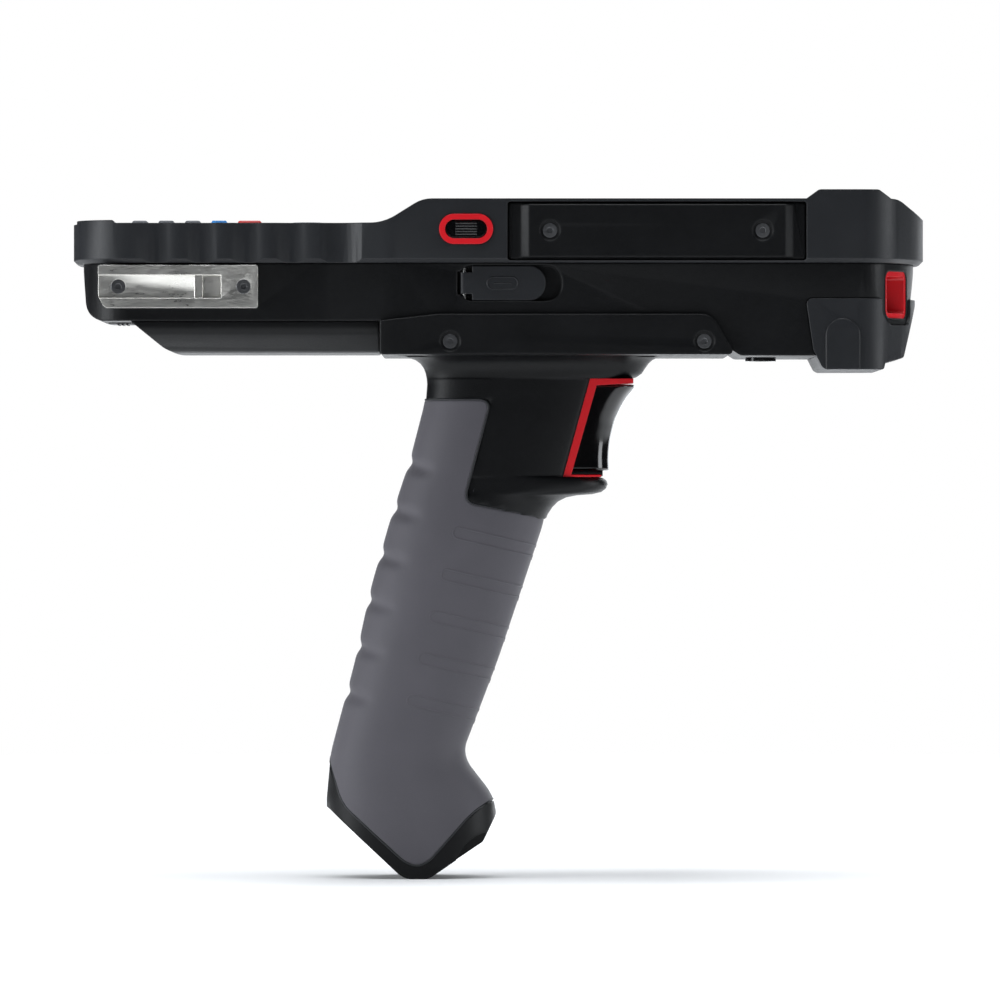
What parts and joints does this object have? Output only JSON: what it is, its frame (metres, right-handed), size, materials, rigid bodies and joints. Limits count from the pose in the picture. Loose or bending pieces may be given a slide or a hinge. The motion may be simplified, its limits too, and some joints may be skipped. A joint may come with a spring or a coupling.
{
  "type": "handheld mobile computer",
  "caption": "Rugged handheld computer with a touch display, rubber bumper and keypad on a pistol grip with a scan trigger.",
  "frame": {"origin": "under the middle of the object's box, at the grip cap's lowest point", "axes": "+X towards the scan end, +Y to the user's left, +Z out of the display"},
  "size_m": [0.236, 0.0826, 0.1903],
  "materials": {
    "key_grey": "moulded silicone-coated keycaps",
    "key_blue": "moulded keycap",
    "key_red": "moulded keycap",
    "black_rubber": "satin moulded rubber",
    "seal_rubber": "moulded silicone",
    "black_plastic": "fine textured moulding",
    "grey_rubber": "soft-touch overmoulding",
    "gloss_black": "polished moulding",
    "red_plastic": "satin moulding",
    "window_glass": "red-tinted filter glass",
    "display_glass": "chemically strengthened glass",
    "display_panel": "liquid crystal panel, off",
    "circuit_board": "glass-epoxy laminate",
    "engine_metal": "black anodised",
    "steel": "drawn",
    "rail_metal": "die cast, satin nickel plated",
    "dark_steel": "zinc-nickel plated"
  },
  "bodies": {
    "terminal": {"camera_lens": "gloss_black", "contact_block": "gloss_black", "cover_screws": "dark_steel", "display_panel": "display_panel", "dock_rail_left": "rail_metal", "dock_rail_right": "rail_metal", "flap_pin": "steel", "front_bumper": "black_rubber", "front_housing": "black_plastic", "grip_cap": "black_plastic", "grip_sleeve": "grey_rubber", "handle_shell_left": "black_plastic", "handle_shell_right": "black_plastic", "head_boot": "black_rubber", "housing_seal": "seal_rubber", "keypad_mat": "black_rubber", "main_board": "circuit_board", "port_socket": "steel", "rail_screws": "dark_steel", "rear_housing": "black_plastic", "saddle_screws": "dark_steel", "scan_engine": "engine_metal", "scan_window": "window_glass", "side_button_ring_left": "red_plastic", "side_button_ring_right": "red_plastic", "side_cover_left": "black_plastic", "side_cover_right": "black_plastic", "touch_glass": "display_glass", "trigger_bezel": "red_plastic", "trigger_pin": "steel", "trigger_spring": "steel", "trigger_switch": "gloss_black", "window_bezel": "red_plastic"},
    "key_1_1": {"key_1_1": "key_grey"},
    "key_1_2": {"key_1_2": "key_grey"},
    "key_1_3": {"key_1_3": "key_grey"},
    "key_1_4": {"key_1_4": "key_blue"},
    "key_1_5": {"key_1_5": "key_red"},
    "key_2_1": {"key_2_1": "key_grey"},
    "key_2_2": {"key_2_2": "key_grey"},
    "key_2_3": {"key_2_3": "key_grey"},
    "key_2_4": {"key_2_4": "key_grey"},
    "key_2_5": {"key_2_5": "key_grey"},
    "key_3_1": {"key_3_1": "key_grey"},
    "key_3_2": {"key_3_2": "key_grey"},
    "key_3_3": {"key_3_3": "key_grey"},
    "key_3_4": {"key_3_4": "key_grey"},
    "key_3_5": {"key_3_5": "key_grey"},
    "key_4_1": {"key_4_1": "key_grey"},
    "key_4_2": {"key_4_2": "key_grey"},
    "key_4_3": {"key_4_3": "key_grey"},
    "key_4_4": {"key_4_4": "key_grey"},
    "key_4_5": {"key_4_5": "key_grey"},
    "scan_key": {"scan_key": "key_grey"},
    "side_button_left": {"side_button_left": "gloss_black"},
    "side_button_right": {"side_button_right": "gloss_black"},
    "trigger": {"trigger": "gloss_black"},
    "port_flap": {"port_flap": "black_rubber"},
    "battery_latch": {"battery_latch": "black_plastic"},
    "battery_pack": {"battery_pack": "black_plastic"}
  },
  "joints": [
    {"name": "key_1_1_press", "type": "slide", "parent": "terminal", "child": "key_1_1", "axis": [0, 0, -1], "range_m": [0, 0.0008], "stiffness_N_per_m": 250, "springref_m": -0.0008},
    {"name": "key_1_2_press", "type": "slide", "parent": "terminal", "child": "key_1_2", "axis": [0, 0, -1], "range_m": [0, 0.0008], "stiffness_N_per_m": 250, "springref_m": -0.0008},
    {"name": "key_1_3_press", "type": "slide", "parent": "terminal", "child": "key_1_3", "axis": [0, 0, -1], "range_m": [0, 0.0008], "stiffness_N_per_m": 250, "springref_m": -0.0008},
    {"name": "key_1_4_press", "type": "slide", "parent": "terminal", "child": "key_1_4", "axis": [0, 0, -1], "range_m": [0, 0.0008], "stiffness_N_per_m": 250, "springref_m": -0.0008},
    {"name": "key_1_5_press", "type": "slide", "parent": "terminal", "child": "key_1_5", "axis": [0, 0, -1], "range_m": [0, 0.0008], "stiffness_N_per_m": 250, "springref_m": -0.0008},
    {"name": "key_2_1_press", "type": "slide", "parent": "terminal", "child": "key_2_1", "axis": [0, 0, -1], "range_m": [0, 0.0008], "stiffness_N_per_m": 250, "springref_m": -0.0008},
    {"name": "key_2_2_press", "type": "slide", "parent": "terminal", "child": "key_2_2", "axis": [0, 0, -1], "range_m": [0, 0.0008], "stiffness_N_per_m": 250, "springref_m": -0.0008},
    {"name": "key_2_3_press", "type": "slide", "parent": "terminal", "child": "key_2_3", "axis": [0, 0, -1], "range_m": [0, 0.0008], "stiffness_N_per_m": 250, "springref_m": -0.0008},
    {"name": "key_2_4_press", "type": "slide", "parent": "terminal", "child": "key_2_4", "axis": [0, 0, -1], "range_m": [0, 0.0008], "stiffness_N_per_m": 250, "springref_m": -0.0008},
    {"name": "key_2_5_press", "type": "slide", "parent": "terminal", "child": "key_2_5", "axis": [0, 0, -1], "range_m": [0, 0.0008], "stiffness_N_per_m": 250, "springref_m": -0.0008},
    {"name": "key_3_1_press", "type": "slide", "parent": "terminal", "child": "key_3_1", "axis": [0, 0, -1], "range_m": [0, 0.0008], "stiffness_N_per_m": 250, "springref_m": -0.0008},
    {"name": "key_3_2_press", "type": "slide", "parent": "terminal", "child": "key_3_2", "axis": [0, 0, -1], "range_m": [0, 0.0008], "stiffness_N_per_m": 250, "springref_m": -0.0008},
    {"name": "key_3_3_press", "type": "slide", "parent": "terminal", "child": "key_3_3", "axis": [0, 0, -1], "range_m": [0, 0.0008], "stiffness_N_per_m": 250, "springref_m": -0.0008},
    {"name": "key_3_4_press", "type": "slide", "parent": "terminal", "child": "key_3_4", "axis": [0, 0, -1], "range_m": [0, 0.0008], "stiffness_N_per_m": 250, "springref_m": -0.0008},
    {"name": "key_3_5_press", "type": "slide", "parent": "terminal", "child": "key_3_5", "axis": [0, 0, -1], "range_m": [0, 0.0008], "stiffness_N_per_m": 250, "springref_m": -0.0008},
    {"name": "key_4_1_press", "type": "slide", "parent": "terminal", "child": "key_4_1", "axis": [0, 0, -1], "range_m": [0, 0.0008], "stiffness_N_per_m": 250, "springref_m": -0.0008},
    {"name": "key_4_2_press", "type": "slide", "parent": "terminal", "child": "key_4_2", "axis": [0, 0, -1], "range_m": [0, 0.0008], "stiffness_N_per_m": 250, "springref_m": -0.0008},
    {"name": "key_4_3_press", "type": "slide", "parent": "terminal", "child": "key_4_3", "axis": [0, 0, -1], "range_m": [0, 0.0008], "stiffness_N_per_m": 250, "springref_m": -0.0008},
    {"name": "key_4_4_press", "type": "slide", "parent": "terminal", "child": "key_4_4", "axis": [0, 0, -1], "range_m": [0, 0.0008], "stiffness_N_per_m": 250, "springref_m": -0.0008},
    {"name": "key_4_5_press", "type": "slide", "parent": "terminal", "child": "key_4_5", "axis": [0, 0, -1], "range_m": [0, 0.0008], "stiffness_N_per_m": 250, "springref_m": -0.0008},
    {"name": "scan_key_press", "type": "slide", "parent": "terminal", "child": "scan_key", "axis": [0, 0, -1], "range_m": [0, 0.0008], "stiffness_N_per_m": 250, "springref_m": -0.0008},
    {"name": "side_button_right_press", "type": "slide", "parent": "terminal", "child": "side_button_right", "axis": [0, 1, 0], "range_m": [0, 0.0008], "stiffness_N_per_m": 300, "springref_m": -0.0008},
    {"name": "side_button_left_press", "type": "slide", "parent": "terminal", "child": "side_button_left", "axis": [0, -1, 0], "range_m": [0, 0.0008], "stiffness_N_per_m": 300, "springref_m": -0.0008},
    {"name": "trigger_pull", "type": "hinge", "parent": "terminal", "child": "trigger", "pos_m": [0.0214, 0, 0.1332], "axis": [0, 1, 0], "range_deg": [0, 6], "stiffness_Nm_per_rad": 0.6, "springref_deg": -8.59},
    {"name": "port_flap_swing", "type": "hinge", "parent": "terminal", "child": "port_flap", "pos_m": [-0.00945, -0.0367, 0.1646], "axis": [0, 0, -1], "range_deg": [0, 90]},
    {"name": "battery_latch_slide", "type": "slide", "parent": "terminal", "child": "battery_latch", "axis": [-1, 0, 0], "range_m": [0, 0.0016], "stiffness_N_per_m": 300, "springref_m": -0.001},
    {"name": "battery_removal", "type": "slide", "parent": "terminal", "child": "battery_pack", "axis": [0, 0, -1], "range_m": [0, 0.014]}
  ]
}
